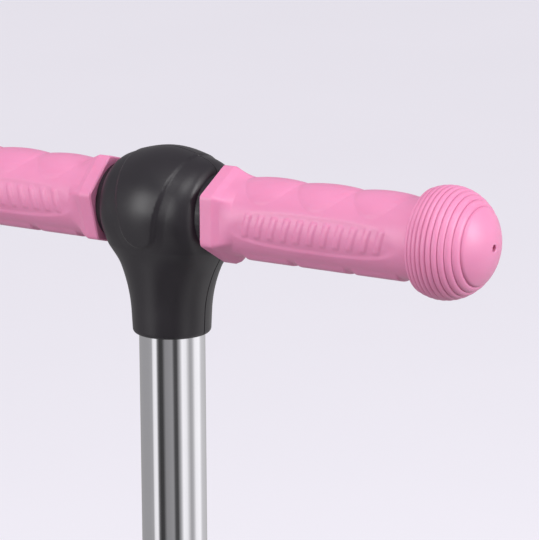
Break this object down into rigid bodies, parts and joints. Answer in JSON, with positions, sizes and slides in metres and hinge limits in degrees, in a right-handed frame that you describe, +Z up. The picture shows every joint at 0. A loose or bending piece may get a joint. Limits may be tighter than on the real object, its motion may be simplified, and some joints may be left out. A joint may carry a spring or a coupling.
{
  "type": "kick scooter",
  "caption": "Children's kick scooter steered by leaning: T-bar with flanged pink grips on a telescoping column, low deck, front truck with wide-set wheels, sprung foot brake.",
  "frame": {"origin": "on the ground, under the middle of the scooter's overall length and width", "axes": "+Z up, the scooter travels towards -Y, the handlebar lies along X with the rider's left at +X"},
  "size_m": [0.2768, 0.57, 0.7237],
  "materials": {
    "grip_rubber": "satin pink moulded elastomer",
    "black_plastic": "satin black moulded nylon",
    "chromed_tube": "mirror chrome",
    "steel_tube": "zinc plated",
    "anodised_tube": "silver anodised, satin",
    "fastener_steel": "bright zinc plate",
    "plated_steel": "dull zinc plate",
    "spring_steel": "drawn wire",
    "bearing_steel": "ground",
    "cast_beam": "blasted casting",
    "bush_rubber": "cast polyurethane",
    "wheel_tyre": "cast polyurethane",
    "wheel_hub": "moulded nylon",
    "deck_plastic": "fine moulded texture",
    "mat_rubber": "ribbed rubber"
  },
  "bodies": {
    "deck_frame": {"deck": "deck_plastic", "grip_mat": "mat_rubber", "front_housing": "black_plastic", "housing_screws": "fastener_steel", "column_bolt": "fastener_steel", "truck_bracket": "plated_steel", "bracket_bolts": "fastener_steel", "kingpin": "fastener_steel", "kingpin_nut": "fastener_steel", "lean_bushes": "bush_rubber", "lower_tube": "anodised_tube", "lower_tube_bush": "black_plastic", "clamp_collar": "black_plastic", "clamp_bolt": "fastener_steel", "clamp_nut": "fastener_steel", "clamp_lever_pin": "fastener_steel", "rear_axle": "fastener_steel", "rear_axle_nut": "fastener_steel", "rear_spacers": "plated_steel", "brake_pin": "fastener_steel", "brake_spring": "spring_steel"},
    "t_bar": {"upper_tube": "chromed_tube", "upper_tube_foot": "black_plastic", "t_core": "black_plastic", "t_shell_front": "black_plastic", "t_shell_rear": "black_plastic", "t_shell_screws": "fastener_steel", "core_screw": "fastener_steel", "cross_tube": "steel_tube", "grip_left": "grip_rubber", "grip_right": "grip_rubber"},
    "clamp_lever": {"clamp_lever": "black_plastic"},
    "truck": {"truck_beam": "cast_beam", "front_axle_left": "fastener_steel", "front_axle_right": "fastener_steel", "front_spacers_left": "plated_steel", "front_spacers_right": "plated_steel"},
    "front_wheel_left": {"front_tyre_left": "wheel_tyre", "front_hub_left": "wheel_hub", "front_bearings_left": "bearing_steel", "hub_cap_left": "black_plastic"},
    "front_wheel_right": {"front_tyre_right": "wheel_tyre", "front_hub_right": "wheel_hub", "front_bearings_right": "bearing_steel", "hub_cap_right": "black_plastic"},
    "rear_wheel": {"rear_tyre": "wheel_tyre", "rear_hub": "wheel_hub", "rear_bearings": "bearing_steel"},
    "brake": {"brake_fender": "black_plastic", "brake_pad": "plated_steel", "brake_pad_rivets": "fastener_steel"}
  },
  "joints": [
    {"name": "bar_height", "type": "slide", "parent": "deck_frame", "child": "t_bar", "axis": [0, 0.0872, 0.9962], "range_m": [-0.15, 0.05]},
    {"name": "clamp_lever_swing", "type": "hinge", "parent": "deck_frame", "child": "clamp_lever", "pos_m": [0.016, -0.1557, 0.46838], "axis": [0, 0.0872, 0.9962], "range_deg": [0, 120]},
    {"name": "lean_steer", "type": "hinge", "parent": "deck_frame", "child": "truck", "pos_m": [0, -0.225, 0.06], "axis": [0, -0.7071, 0.7071], "range_deg": [-12, 12], "stiffness_Nm_per_rad": 60},
    {"name": "front_wheel_left_spin", "type": "hinge", "parent": "truck", "child": "front_wheel_left", "pos_m": [0.108, -0.225, 0.06], "axis": [1, 0, 0], "continuous": true},
    {"name": "front_wheel_right_spin", "type": "hinge", "parent": "truck", "child": "front_wheel_right", "pos_m": [-0.108, -0.225, 0.06], "axis": [1, 0, 0], "continuous": true},
    {"name": "rear_wheel_spin", "type": "hinge", "parent": "deck_frame", "child": "rear_wheel", "pos_m": [0, 0.245, 0.04], "axis": [1, 0, 0], "continuous": true},
    {"name": "brake_press", "type": "hinge", "parent": "deck_frame", "child": "brake", "pos_m": [0, 0.203, 0.079], "axis": [-1, 0, 0], "range_deg": [0, 4.2], "stiffness_Nm_per_rad": 4, "springref_deg": -8.59}
  ]
}
